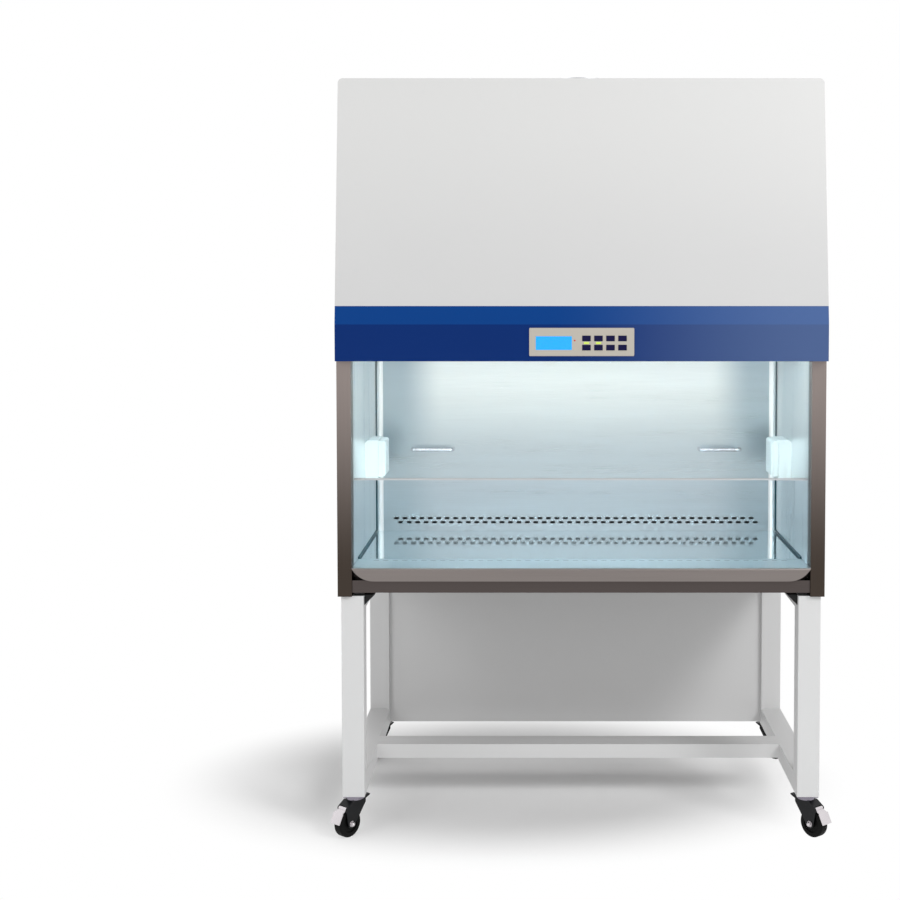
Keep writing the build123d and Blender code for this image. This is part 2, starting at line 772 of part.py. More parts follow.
guide_top_z = sash_top_z + sash_rise + rail_height
guide_bottom_z = pan_rim_z
guide_x = glass_x + glass_edge_gap
with BuildPart() as sash_guides:
    with BuildSketch(Plane.XY.offset(guide_bottom_z)):
        with Locations(((liner_x + guide_x + guide_web) / 2, (guide_front_y + guide_back_y) / 2)):
            Rectangle(guide_x + guide_web - liner_x, guide_back_y - guide_front_y)
        with Locations(((liner_x + guide_x) / 2, (guide_front_y + guide_back_y) / 2)):
            Rectangle(guide_x - liner_x, glass + 2 * slip, mode=Mode.SUBTRACT)
    extrude(amount=guide_top_z - guide_bottom_z)
    mirror(about=Plane.YZ)
save(sash_guides, "sash_guides")

with BuildPart() as sash_cables:
    with BuildSketch(Plane.XY.offset(sash_top_z + cable_lug)):
        with Locations((-cable_x, sash_mid_y), (cable_x, sash_mid_y)):
            Circle(cable_radius)
    extrude(amount=shaft_z - sash_top_z - cable_lug)
save(sash_cables, "sash_cables")

# Lift shaft with its two pulleys, the gearmotor at its right end and the bearing at its left end
shaft_plane = Plane(origin=(0, shaft_y, shaft_z), x_dir=(0, 1, 0), z_dir=(1, 0, 0))
flange_sheet = 2
shaft_end = half_width - 5 * flange_sheet
with BuildPart() as sash_lift_shaft:
    with BuildSketch(shaft_plane):
        Circle(shaft_radius)
    extrude(amount=shaft_end, both=True)
    for side in (-cable_x, cable_x):
        with BuildSketch(shaft_plane.offset(side)):
            Circle(pulley_radius)
        extrude(amount=pulley_width / 2, both=True)
        for face_x in (side - pulley_width / 2, side + pulley_width / 2 - flange_sheet):
            with BuildSketch(shaft_plane.offset(face_x)):
                Circle(pulley_radius + pulley_flange)
            extrude(amount=flange_sheet)
save(sash_lift_shaft, "sash_lift_shaft")

gearbox = (46, 54, 60)
gearbox_x = half_width - sheet - gearbox[0]
bearing = (20, 28, 28)
can_radius = 20
can_length = 80
with BuildPart() as sash_drive:
    with Locations((gearbox_x, shaft_y - 2.5 * shaft_radius, shaft_z - gearbox[2] / 2)):
        Box(*gearbox, align=(Align.MIN, Align.MIN, Align.MIN))
    with BuildSketch(Plane.XY.offset(shaft_z + gearbox[2] / 2)):
        with Locations((gearbox_x + gearbox[0] / 2, shaft_y + 2 * shaft_radius)):
            Circle(can_radius)
    extrude(amount=can_length)
    with Locations((sheet - half_width, shaft_y, shaft_z)):
        Box(*bearing, align=(Align.MIN, Align.CENTER, Align.CENTER))
    with BuildSketch(shaft_plane):
        Circle(shaft_radius + pin_gap)
    extrude(amount=shaft_end + pin_gap, both=True, mode=Mode.SUBTRACT)
save(sash_drive, "sash_drive")

# Lamps: a reflector channel under the ceiling with two tubes, and an ultraviolet lamp on the rear wall
lamp_y = guide_back_y + slip + lamp_reach / 2
lamp_x = liner_x - 2 * sheet
with BuildPart() as lamp_housing:
    with BuildSketch(Plane.YZ):
        with Locations((lamp_y, ceiling_z - lamp_drop / 2)):
            Trapezoid(lamp_reach, lamp_drop, 75)
    extrude(amount=lamp_x, both=True)
    offset(amount=-sheet, openings=lamp_housing.faces().sort_by(Axis.Z)[0])
    for side in (-1, 1):
        with Locations((side * (lamp_length / 2 + 3 * sheet), lamp_y, ceiling_z)):
            Box(6 * sheet, lamp_reach / 2, lamp_drop, align=(Align.CENTER, Align.CENTER, Align.MAX))
save(lamp_housing, "lamp_housing")

with BuildPart() as work_lamps:
    with BuildSketch(Plane.YZ):
        for side in (-lamp_reach / 7, lamp_reach / 7):
            with Locations((lamp_y + side, ceiling_z - lamp_drop / 2 - sheet)):
                Circle(tube_radius)
    extrude(amount=lamp_length / 2, both=True)
save(work_lamps, "work_lamps")

uv_z = ceiling_z - uv_drop
with BuildPart() as uv_lamp:
    with BuildSketch(Plane.YZ):
        with Locations((rear_wall_y - uv_reach, uv_z)):
            Circle(tube_radius)
    extrude(amount=uv_length / 2, both=True)
    for side in (-1, 1):
        with Locations((side * uv_length / 2, rear_wall_y, uv_z)):
            Box(3 * tube_radius, uv_reach + 1.5 * tube_radius, 3 * tube_radius, align=(Align.CENTER, Align.MAX, Align.CENTER))
save(uv_lamp, "uv_lamp")

# Socket boxes on the side walls, each with a recessed socket and a hinge pin between two ears
box_z = work_z + box_rise
box_top_z = box_z + box_height
box_y = post_y + box_setback
box_mid_y = box_y + box_width / 2
face_x = liner_x - box_depth
hinge_x = face_x - 1.5 * hinge_radius
hinge_z = box_top_z - 2.5 * hinge_radius
ear = 5
cover_gap = 0.3
cover_width = box_width - 2 * (ear + cover_gap)
socket_z = (box_z + box_top_z) / 2 - 6
box_end = Plane(origin=(0, box_y, 0), x_dir=(1, 0, 0), z_dir=(0, -1, 0))
hinge_end = Plane(origin=(hinge_x, box_mid_y, hinge_z), x_dir=(1, 0, 0), z_dir=(0, -1, 0))
socket_face = Plane(origin=(face_x, box_mid_y, socket_z), x_dir=(0, -1, 0), z_dir=(-1, 0, 0))
with BuildPart() as socket_boxes:
    with BuildSketch(box_end) as box_outline:
        with Locations((liner_x - box_depth / 2, (box_z + box_top_z) / 2)):
            Rectangle(box_depth, box_height)
        outer_top = box_outline.vertices().sort_by_distance((liner_x, box_top_z))[0]
        fillet(outer_top, box_round)
    extrude(amount=-box_width)
    with BuildSketch(hinge_end):
        Circle(2.2 * hinge_radius)
    extrude(amount=cover_width / 2 + cover_gap, both=True, mode=Mode.SUBTRACT)
    for ear_y in (0, ear - box_width):
        with BuildSketch(box_end.offset(ear_y)):
            with Locations((hinge_x, hinge_z)):
                Circle(1.5 * hinge_radius)
            with Locations((hinge_x + hinge_radius, hinge_z)):
                Rectangle(2 * hinge_radius, 3 * hinge_radius)
        extrude(amount=-ear)
    with BuildSketch(hinge_end):
        Circle(hinge_radius)
    extrude(amount=box_width / 2, both=True)
    with BuildSketch(socket_face):
        Circle(socket_radius)
    extrude(amount=-socket_depth, mode=Mode.SUBTRACT)
    with BuildSketch(socket_face.offset(-socket_depth)):
        with PolarLocations(socket_radius / 2, 3, start_angle=90):
            Circle(hinge_radius)
    extrude(amount=-socket_depth, mode=Mode.SUBTRACT)
    mirror(about=Plane.YZ)
save(socket_boxes, "socket_boxes")

cover_top_z = hinge_z + 1.45 * hinge_radius
cover_x = face_x - cover_gap
with BuildPart() as right_socket_cover:
    with Locations((cover_x, box_mid_y, cover_top_z)):
        Box(cover_depth, cover_width, box_height - 12, align=(Align.MAX, Align.CENTER, Align.MAX))
    outer_face = right_socket_cover.faces().sort_by(Axis.X)[0]
    fillet(outer_face.edges(), 0.4 * cover_depth)
    offset(amount=-cover_wall, openings=right_socket_cover.faces().sort_by(Axis.X)[-1])
    with BuildSketch(hinge_end):
        Circle(hinge_radius + pin_gap)
    extrude(amount=box_width, both=True, mode=Mode.SUBTRACT)
save(right_socket_cover, "right_socket_cover")

with BuildPart() as left_socket_cover:
    mirror(right_socket_cover.part, about=Plane.YZ)
save(left_socket_cover, "left_socket_cover")

# Stand: side frames of square tube, a flat cross rail, a rear panel and gussets at the front legs
front_leg_y = post_y + leg_setback + tube / 2
rear_leg_y = back_y - rear_leg_inset - tube / 2
leg_inner_x = leg_x - tube / 2
rail_length = rear_leg_y - front_leg_y - tube
rail_plane = Plane.XZ.offset(-front_leg_y - tube / 2)
with BuildPart() as stand_legs:
    with BuildSketch(Plane.XY.offset(castor_height)) as leg_outline:
        with Locations((leg_x, front_leg_y), (leg_x, rear_leg_y)):
            Rectangle(tube, tube)
    extrude(amount=stand_height)
    with BuildSketch(Plane.XY.offset(castor_height + tube_wall)):
        with Locations((leg_x, front_leg_y), (leg_x, rear_leg_y)):
            Rectangle(tube - 2 * tube_wall, tube - 2 * tube_wall)
    extrude(amount=stand_height, mode=Mode.SUBTRACT)
    fillet(stand_legs.edges().filter_by(Axis.Z).group_by(SortBy.LENGTH)[-1], tube_wall)
    mirror(about=Plane.YZ)
save(stand_legs, "stand_legs")

with BuildPart() as stand_side_rails:
    for rail_z, height in (
        (castor_height + lower_rail_height / 2, lower_rail_height),
        (base_z - upper_rail_height / 2, upper_rail_height),
    ):
        with BuildSketch(rail_plane):
            with Locations((leg_x, rail_z)):
                Rectangle(tube, height)
                Rectangle(tube - 2 * tube_wall, height - 2 * tube_wall, mode=Mode.SUBTRACT)
        extrude(amount=-rail_length)
    mirror(about=Plane.YZ)
save(stand_side_rails, "stand_side_rails")

cross_rail_z = castor_height + lower_rail_height - cross_rail_height / 2
cross_rail_y = post_y + cross_rail_setback + cross_rail_depth / 2
with BuildPart() as stand_cross_rail:
    with BuildSketch(Plane.YZ):
        with Locations((cross_rail_y, cross_rail_z)):
            Rectangle(cross_rail_depth, cross_rail_height)
            Rectangle(cross_rail_depth - 2 * tube_wall, cross_rail_height - 2 * tube_wall, mode=Mode.SUBTRACT)
    extrude(amount=leg_inner_x, both=True)
save(stand_cross_rail, "stand_cross_rail")

panel_y = rear_leg_y - tube / 2 + stand_panel_setback
panel_foot = 5
with BuildPart() as stand_rear_panel:
    with Locations((0, panel_y, castor_height + panel_foot)):
        Box(2 * leg_inner_x, sheet, stand_height - panel_foot, align=(Align.CENTER, Align.MIN, Align.MIN))
save(stand_rear_panel, "stand_rear_panel")

with BuildPart() as leg_gussets:
    with BuildSketch(Plane.XZ.offset(-front_leg_y - gusset / 2)):
        with BuildLine():
            Polyline(
                (leg_inner_x, base_z),
                (leg_inner_x - gusset, base_z),
                (leg_inner_x, base_z - gusset),
                close=True,
            )
        make_face()
    extrude(amount=gusset)
    mirror(about=Plane.YZ)
save(leg_gussets, "leg_gussets")

# Castors: plate, ball race and kingpin on each leg; fork, wheel and front brake pedal on the kingpin
crown_top_z = castor_height - castor_plate_thickness - race_height - swivel_gap
crown_z = crown_top_z - crown_height
head_height = 4
fork_inner = wheel_width / 2 + cheek_gap
fork_outer = fork_inner + cheek


def side_plane(leg_y):
    """Upright plane through the kingpin of a right-hand castor, its x along the castor's trail."""
    trail = Vector(1, 0, 0).rotate(Axis.Z, -castor_turn)
    return Plane(origin=(leg_x, leg_y, 0), x_dir=trail, z_dir=trail.cross(Vector(0, 0, 1)))


def build_fork(leg_y):
    """Fork with its crown, cheeks, axle, pedal pin and the release tab behind the crown."""
    side = side_plane(leg_y)
    with BuildPart() as fork:
        with BuildSketch(side):
            with Locations((castor_trail, wheel_radius)):
                Circle(3 * axle_radius)
            with Locations((pedal_pivot_u, pedal_pivot_z)):
                Circle(2 * pedal_pin_radius)
            with Locations((0, crown_z + crown_height / 2)):
                Rectangle(2 * race_radius, crown_height)
            make_hull()
        extrude(amount=fork_outer, both=True)
        with BuildSketch(side):
            with Locations((castor_trail, crown_z / 2)):
                Rectangle(4 * wheel_radius, crown_z)
        extrude(amount=fork_inner, both=True, mode=Mode.SUBTRACT)
        with BuildSketch(side):
            with BuildLine():
                Polyline(
                    (-race_radius, crown_top_z),
                    (-race_radius, crown_z),
                    (-2 * race_radius, crown_top_z - 2),
                    (-2 * race_radius - 2, crown_top_z + 1),
                    close=True,
                )
            make_face()
        extrude(amount=fork_inner / 2, both=True)
        with BuildSketch(side):
            with Locations((castor_trail, wheel_radius)):
                Circle(axle_radius)
        extrude(amount=fork_outer + cheek / 2, both=True)
        with BuildSketch(side):
            with Locations((pedal_pivot_u, pedal_pivot_z)):
                Circle(pedal_pin_radius)
        extrude(amount=fork_outer, both=True)
        with BuildSketch(Plane.XY.offset(crown_top_z)):
            with Locations((leg_x, leg_y)):
                Circle(kingpin_radius + pin_gap)
        extrude(amount=-crown_height, mode=Mode.SUBTRACT)
    return fork


def build_wheel(leg_y):
    """Wheel with a rounded tread, dished sides and a hub that fills the fork."""
    side = side_plane(leg_y)
    with BuildPart() as wheel:
        with BuildSketch(side):
            with Locations((castor_trail, wheel_radius)):
                Circle(wheel_radius)
        extrude(amount=wheel_width / 2, both=True)
        fillet(wheel.edges().filter_by(GeomType.CIRCLE), wheel_width / 6)
        for face in (wheel_width / 2, -wheel_width / 2):
            with BuildSketch(side.offset(face)):
                with Locations((castor_trail, wheel_radius)):
                    Circle(0.65 * wheel_radius)
            extrude(amount=-face / 4, mode=Mode.SUBTRACT)
        with BuildSketch(side):
            with Locations((castor_trail, wheel_radius)):
                Circle(2.4 * axle_radius)
        extrude(amount=fork_inner - swivel_gap, both=True)
        with BuildSketch(side):
            with Locations((castor_trail, wheel_radius)):
                Circle(axle_radius + pin_gap)
        extrude(amount=wheel_width, both=True, mode=Mode.SUBTRACT)
    return wheel


def build_pedal(leg_y):
    """Bent brake pedal: a barrel on the fork's pin and a plate that hoods the front of the wheel."""
    side = side_plane(leg_y)
    pivot = Vector(pedal_pivot_u, pedal_pivot_z)
    barrel_radius = pedal_pin_radius + pedal_sheet
    bend = pivot + Vector(18, -8)
    toe = pivot + Vector(31, -33)
    with BuildPart() as pedal:
        with BuildSketch(side):
            with BuildLine():
                arm = Line(pivot, bend)
                offset(amount=pedal_sheet / 2)
            make_face()
            with Locations(pivot):
                Circle(barrel_radius)
        extrude(amount=fork_inner - swivel_gap, both=True)
        with BuildSketch(side):
            with BuildLine():
                blade = Line(bend, toe)
                offset(amount=pedal_sheet / 2)
            make_face()
        extrude(amount=fork_outer, both=True)
        with BuildSketch(side):
            with Locations(pivot):
                Circle(pedal_pin_radius + pin_gap)
        extrude(amount=fork_outer, both=True, mode=Mode.SUBTRACT)
    return pedal


with BuildPart() as castor_mounts:
    for leg_y in (front_leg_y, rear_leg_y):
        with Locations((leg_x, leg_y, castor_height)):
            Box(castor_plate, castor_plate, castor_plate_thickness, align=(Align.CENTER, Align.CENTER, Align.MAX))
        with Locations((leg_x, leg_y, castor_height - castor_plate_thickness)):
            Cylinder(race_radius, race_height, align=(Align.CENTER, Align.CENTER, Align.MAX))
        with Locations((leg_x, leg_y, castor_height - castor_plate_thickness)):
            pin_length = castor_height - castor_plate_thickness - crown_z + swivel_gap + head_height
            Cylinder(kingpin_radius, pin_length, align=(Align.CENTER, Align.CENTER, Align.MAX))
        with Locations((leg_x, leg_y, crown_z - swivel_gap)):
            Cylinder(1.6 * kingpin_radius, head_height, align=(Align.CENTER, Align.CENTER, Align.MAX))
    mirror(about=Plane.YZ)
save(castor_mounts, "castor_mounts")

castor_pieces = [("front", "fork", build_fork), ("front", "wheel", build_wheel), ("front", "pedal", build_pedal)]
castor_pieces += [("rear", "fork", build_fork), ("rear", "wheel", build_wheel)]
for place, piece, build in castor_pieces:
    right_piece = build(front_leg_y if place == "front" else rear_leg_y)
    save(right_piece, f"{place}_right_{piece}")
    with BuildPart() as left_piece:
        mirror(right_piece.part, about=Plane.YZ)
    save(left_piece, f"{place}_left_{piece}")
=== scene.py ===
import json
import math

import bpy
import numpy as np
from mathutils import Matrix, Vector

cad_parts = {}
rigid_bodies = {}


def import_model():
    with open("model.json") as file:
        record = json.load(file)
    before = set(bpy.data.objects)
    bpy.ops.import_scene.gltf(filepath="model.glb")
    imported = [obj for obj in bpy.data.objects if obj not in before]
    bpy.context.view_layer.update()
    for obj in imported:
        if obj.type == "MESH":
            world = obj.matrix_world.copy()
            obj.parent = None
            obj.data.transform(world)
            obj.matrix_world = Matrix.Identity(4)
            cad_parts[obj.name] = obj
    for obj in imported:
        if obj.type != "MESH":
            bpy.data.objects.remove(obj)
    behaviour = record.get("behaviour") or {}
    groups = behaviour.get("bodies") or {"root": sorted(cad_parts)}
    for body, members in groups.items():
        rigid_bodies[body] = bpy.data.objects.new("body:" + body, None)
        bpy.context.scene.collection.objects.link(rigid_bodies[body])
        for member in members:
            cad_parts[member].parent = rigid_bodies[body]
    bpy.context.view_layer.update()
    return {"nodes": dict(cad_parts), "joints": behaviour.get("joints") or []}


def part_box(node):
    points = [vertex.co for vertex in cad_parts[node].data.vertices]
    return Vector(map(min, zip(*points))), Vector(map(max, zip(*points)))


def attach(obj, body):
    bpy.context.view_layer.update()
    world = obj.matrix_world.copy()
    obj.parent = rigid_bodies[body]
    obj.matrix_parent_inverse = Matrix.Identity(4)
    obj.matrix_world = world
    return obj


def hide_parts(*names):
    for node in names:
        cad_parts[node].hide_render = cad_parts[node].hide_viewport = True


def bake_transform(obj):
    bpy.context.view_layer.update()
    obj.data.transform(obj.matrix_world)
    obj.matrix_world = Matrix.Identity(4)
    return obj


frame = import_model()

# Camera: about 1.5 m up and 4 m in front of the cabinet, a little to its left, looking slightly down. The
# lens is shifted so that the cabinet sits right of the middle and low in the frame.
eye_place = (-0.105, -4.371, 1.497)
eye_tilt = 2.63
lens_length = 60.6
lens_shift = (-0.102, -0.110)
sensor_width = 36
camera = bpy.data.objects.new("camera", bpy.data.cameras.new("camera"))
camera.location = eye_place
camera.rotation_euler = (math.radians(90 - eye_tilt), 0, 0)
camera.data.lens = lens_length
camera.data.sensor_width = sensor_width
camera.data.shift_x, camera.data.shift_y = lens_shift
bpy.context.scene.collection.objects.link(camera)
bpy.context.scene.camera = camera
bpy.context.scene.view_settings.view_transform = "Standard"

# Studio: a white room whose world light is even on all sides. Lines of sight and reflections see plain
# white, and surfaces are lit at a level that leaves their colours about as they are written.
ambient_level = 0.52


def colour(code):
    """sRGB hex to linear RGBA: each channel c becomes c / 12.92 below 0.04045, and from there on
    ((c + 0.055) / 1.055) ** 2.4."""
    channels = np.array([int(code[i : i + 2], 16) for i in (0, 2, 4)]) / 255
    linear = np.where(channels < 0.04045, channels / 12.92, ((channels + 0.055) / 1.055) ** 2.4)
    return (*linear.tolist(), 1.0)


def feed(tree, node, inputs):
    """Fills a node's inputs: another node's output is linked, and a constant is set on the socket itself."""
    for key, value in inputs.items():
        if isinstance(value, bpy.types.NodeSocket):
            tree.links.new(value, node.inputs[key])
        else:
            node.inputs[key].default_value = value


def add(tree, kind, inputs=None, **settings):
    """Adds a node with these settings and inputs."""
    node = tree.nodes.new("ShaderNode" + kind)
    for key, value in settings.items():
        setattr(node, key, value)
    feed(tree, node, inputs or {})
    return node


def sight(tree):
    """1 for camera, glossy and transmission rays, which see plain white where the room is, and else 0."""
    ray = add(tree, "LightPath").outputs
    seen = add(tree, "Math", {0: ray["Is Camera Ray"], 1: ray["Is Glossy Ray"]}, operation="MAXIMUM")
    seen = add(tree, "Math", {0: seen.outputs[0], 1: ray["Is Transmission Ray"]}, operation="MAXIMUM")
    return seen.outputs[0]


world = bpy.data.worlds.new("studio")
bpy.context.scene.world = world
world.use_nodes = True
room = world.node_tree
level = add(room, "MapRange", {"Value": sight(room), "To Min": ambient_level, "To Max": 1.0})
feed(room, room.nodes["Background"], {"Color": colour("FFFFFF"), "Strength": level.outputs[0]})

# Softboxes: a square key light high on the user's right, which throws the shadows to the left, and a
# weaker and larger fill light on the left.
for name, spot, aim, side, watts in (
    ("key_light", (3.0, -3.6, 4.0), (0, 0, 0.9), 1.6, 105),
    ("fill_light", (-3.2, -3.4, 2.6), (0, 0, 1.2), 2.4, 32),
):
    lamp = bpy.data.lights.new(name, "AREA")
    lamp.size = side
    lamp.energy = watts
    light = bpy.data.objects.new(name, lamp)
    light.location = spot
    toward = np.array(aim) - np.array(spot)
    tilt = math.acos(-toward[2] / np.linalg.norm(toward))
    light.rotation_euler = (tilt, 0, math.atan2(toward[1], toward[0]) - math.pi / 2)
    bpy.context.scene.collection.objects.link(light)

# Floor: matt white vinyl, 16 m across. It keeps the shadows in an oval under the cabinet and to its left,
# and towards the oval's edge it turns to the same plain white as the room behind it.
floor_half = 8.0
oval_centre = (-0.22, 0.15, 0.0)
oval_half = (1.05, 0.75, 1.0)
full_shadow = 0.5


def begin(name):
    """A new material, with its node tree and its main shader."""
    material = bpy.data.materials.new(name)
    material.use_nodes = True
    return material, material.node_tree, material.node_tree.nodes["Principled BSDF"]


floor_mesh = bpy.data.meshes.new("floor")
corners = [(x * floor_half, y * floor_half, 0) for x, y in ((-1, -1), (1, -1), (1, 1), (-1, 1))]
floor_mesh.from_pydata(corners, [], [(0, 1, 2, 3)])
floor = bpy.data.objects.new("floor", floor_mesh)
bpy.context.scene.collection.objects.link(floor)
vinyl, tree, face = begin("matt_white_vinyl")
feed(tree, face, {"Base Color": colour("FAFAFA"), "Roughness": 0.7})
place = add(tree, "TexCoord").outputs["Object"]
from_centre = add(tree, "VectorMath", {0: place, 1: oval_centre}, operation="SUBTRACT")
in_ovals = add(tree, "VectorMath", {0: from_centre.outputs[0], 1: oval_half}, operation="DIVIDE")
distance = add(tree, "VectorMath", {0: in_ovals.outputs[0]}, operation="LENGTH")
rim = {"Value": distance.outputs["Value"], "From Min": full_shadow, "From Max": 1.0}
fade = add(tree, "MapRange", rim, interpolation_type="SMOOTHSTEP")
share = add(tree, "Math", {0: sight(tree), 1: fade.outputs[0]}, operation="MULTIPLY")
plain = add(tree, "Emission", {"Color": colour("FFFFFF"), "Strength": 1.0})
mixed = add(tree, "MixShader", {0: share.outputs[0], 1: face.outputs[0], 2: plain.outputs[0]})
feed(tree, tree.nodes["Material Output"], {"Surface": mixed.outputs[0]})
floor_mesh.materials.append(vinyl)

# Hood, side panels, rear panel and roof: folded mild steel sheet, powder coated a cool white, which
# looks satin and very slightly mottled in grazing light. Painted light makes it a little paler towards
# the roof, for the light that falls on it from above.
pale_from, pale_to = 1.4, 2.0


def dress(material, *names):
    """Gives CAD nodes a material in every slot that they have."""
    for name in names:
        for slot in frame["nodes"][name].material_slots:
            slot.material = material


def satin_skin(name, code, roughness, tone=0.03, grain_mm=1.6, depth_mm=0.05, shine=0.5):
    """Opaque coat or moulding. Its peel has bumps about grain_mm across and depth_mm deep, and its tone and
    roughness drift slowly over about 0.4 m. shine is how much its face mirrors, which stays low on dark
    coats, so that they keep their depth in a white room."""
    drift_rate = 2.4
    material, tree, face = begin(name)
    place = add(tree, "TexCoord").outputs["Object"]
    cloud = add(tree, "TexNoise", {"Vector": place, "Scale": drift_rate, "Detail": 3.0}).outputs["Fac"]
    light = [min(c * (1 + tone), 1.0) for c in colour(code)[:3]] + [1.0]
    dark = [c * (1 - tone) for c in colour(code)[:3]] + [1.0]
    mottle = add(tree, "Mix", {"Factor": cloud, "A": dark, "B": light}, data_type="RGBA")
    wear = add(tree, "MapRange", {"Value": cloud, "To Min": roughness - 0.04, "To Max": roughness + 0.06})
    peel = add(tree, "TexNoise", {"Vector": place, "Scale": 1000 / grain_mm / 3, "Detail": 2.0})
    bump = add(tree, "Bump", {"Height": peel.outputs["Fac"], "Strength": 0.15, "Distance": depth_mm / 1000})
    coat = {"Base Color": mottle.outputs["Result"], "Roughness": wear.outputs[0], "Normal": bump.outputs[0]}
    feed(tree, face, coat | {"Specular IOR Level": shine})
    return material


def shift(tree, base, value, start, end, code, share=1.0):
    """Mixes a second colour into base: none of it while value is start, and a share of it from end on."""
    span = {"Value": value, "From Min": start, "From Max": end, "To Max": share}
    ramp = add(tree, "MapRange", span, interpolation_type="SMOOTHSTEP")
    colours = {"Factor": ramp.outputs[0], "A": base, "B": colour(code)}
    return add(tree, "Mix", colours, data_type="RGBA").outputs["Result"]


def tint(material, source, axis, start, end, code, share=1.0):
    """Shifts a finished material's colour towards a second one, by the axis value of source. Source is
    Object for the place on the cabinet, or Normal for the way a face looks."""
    tree = material.node_tree
    face = tree.nodes["Principled BSDF"]
    value = add(tree, "SeparateXYZ", {0: add(tree, "TexCoord").outputs[source]}).outputs[axis]
    coat = face.inputs["Base Color"].links[0].from_socket
    feed(tree, face, {"Base Color": shift(tree, coat, value, start, end, code, share)})


hood_white = satin_skin("white_powder_coat", "D6D6D6", 0.42)
tint(hood_white, "Object", "Z", pale_from, pale_to, "E0E0DF")
dress(hood_white, "hood_front_panel", "left_side_panel", "right_side_panel", "rear_panel", "top_panel")

# Control fascia: one folded sheet under the hood, sprayed deep blue with a smoother gloss than the white
# panels. Its leaning upper facet is painted lighter than the upright one, as painted light, and both carry
# a painted reflection of the key light that pales them to the user's right.
upright, leaning = 0.03, 0.12
glare_from, glare_to, glare_share = -0.1, 0.65, 0.36
fascia_blue = satin_skin(
    "blue_gloss_enamel", "002C70", 0.32, tone=0.06, grain_mm=2.4, depth_mm=0.03, shine=0.12
)
tint(fascia_blue, "Normal", "Z", upright, leaning, "003F88")
tint(fascia_blue, "Object", "X", glare_from, glare_to, "7F97BE", share=glare_share)
dress(fascia_blue, "control_fascia")

# Panel bezel: one plate of moulded ABS with a lightly textured, warm grey face, set on the fascia round
# the display and the keys.
bezel_grey = satin_skin("warm_grey_abs", "BFB9AE", 0.5, tone=0.04, grain_mm=1.2, depth_mm=0.06)
dress(bezel_grey, "panel_bezel")

# Display window: a backlit liquid crystal module behind clear acrylic. Its glow is an almost even light
# blue, crossed by the fine darker grid between its dots, which are 0.6 mm apart.
dot_mm = 0.6
dot = dot_mm / 1000
display, tree, face = begin("backlit_display")
place = add(tree, "TexCoord").outputs["Object"]
facing = add(tree, "Mapping", {"Vector": place, "Rotation": (math.radians(-90), 0, 0)}).outputs[0]
blues = {"Color1": colour("0A9EEC"), "Color2": colour("0C98E6"), "Mortar": colour("057EC8")}
grid = {"Vector": facing, "Scale": 1.0, "Mortar Size": dot / 8, "Brick Width": dot, "Row Height": dot}
dots = add(tree, "TexBrick", blues | grid, offset=0.0).outputs["Color"]
feed(tree, face, {"Base Color": dots, "Emission Color": dots, "Emission Strength": 0.7, "Roughness": 0.12})
dress(display, "display_window")

# Keys: eight caps of moulded silicone, printed dark navy, which stand a little out of the bezel. Their
# satin face mirrors little of the white room.
key_navy = satin_skin("navy_silicone", "0A0A3C", 0.45, tone=0.1, grain_mm=0.8, depth_mm=0.03, shine=0.15)
dress(key_navy, *[f"key_{number}" for number in range(1, 9)])

# Control board: glass-fibre laminate behind the panel, coated with green solder mask, which is smooth and
# a little uneven in tone.
board_green = satin_skin("green_solder_mask", "1F6B3A", 0.35, tone=0.15, grain_mm=0.8)
dress(board_green, "control_board")

# Panel lamps: two yellow-green rod lenses between the key rows, under the first two keys, and one round
# red lens beside the display. Each is tinted acrylic and lies on the bezel over its light pipe.
rod_half = 0.007
rod_radius = 0.0016
dome_radius = 0.0022
lamp_left = 0.0308
lamp_rise = 0.0065
lens_steps = 20
panel_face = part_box("panel_bezel")[0].y


def turned(profile, centres, axis, steps):
    """Closed solids of turn, one at each centre. The profile's point (r, h) at angle t stands at
    centre + h * axis + r * (cos t * side + sin t * up), where side and up are square to the axis. The
    profile starts and ends on the axis, so a ring of triangles closes each end. Gives points and faces."""
    axis = np.array(axis, float)
    side = np.cross(axis, (0.0, 0.0, 1.0) if abs(axis[2]) < 0.9 else (1.0, 0.0, 0.0))
    side /= np.linalg.norm(side)
    angle = (np.arange(steps) * 2 * math.pi / steps)[:, None]
    ring = np.cos(angle) * side + np.sin(angle) * np.cross(axis, side)
    radius, height = np.array(profile, float).T
    rings = height[1:-1, None, None] * axis + radius[1:-1, None, None] * ring
    solid = np.vstack([height[0] * axis, rings.reshape(-1, 3), height[-1] * axis])
    here = np.arange(steps)
    after = (here + 1) % steps
    last = len(solid) - 1
    row = 1 + steps * np.arange(len(rings) - 1)[:, None]
    foot = np.stack([0 * here, 1 + after, 1 + here], axis=-1)
    top = np.stack([0 * here + last, last - steps + here, last - steps + after], axis=-1)
    walls = np.stack([row + here, row + after, row + steps + after, row + steps + here], axis=-1)
    starts = len(solid) * np.arange(len(centres))[:, None, None]
    points = (np.array(centres, float)[:, None] + solid).reshape(-1, 3)
    return points, [(starts + part).reshape(-1, part.shape[1]) for part in (foot, top, walls.reshape(-1, 4))]


def piece(name, material, *solids):
    """Makes one mesh object of these solids, each given as its points and its arrays of faces."""
    starts = np.cumsum([0] + [len(points) for points, _ in solids])
    faces = []
    for start, (_, parts) in zip(starts, solids):
        for part in parts:
            faces += (start + part).tolist()
    mesh = bpy.data.meshes.new(name)
    mesh.from_pydata(np.concatenate([points for points, _ in solids]).tolist(), [], faces)
    mesh.materials.append(material)
    made = bpy.data.objects.new(name, mesh)
    bpy.context.scene.collection.objects.link(made)
    return made


def middle(name):
    """The middle of a CAD node's box."""
    low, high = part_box(name)
    return (low + high) / 2


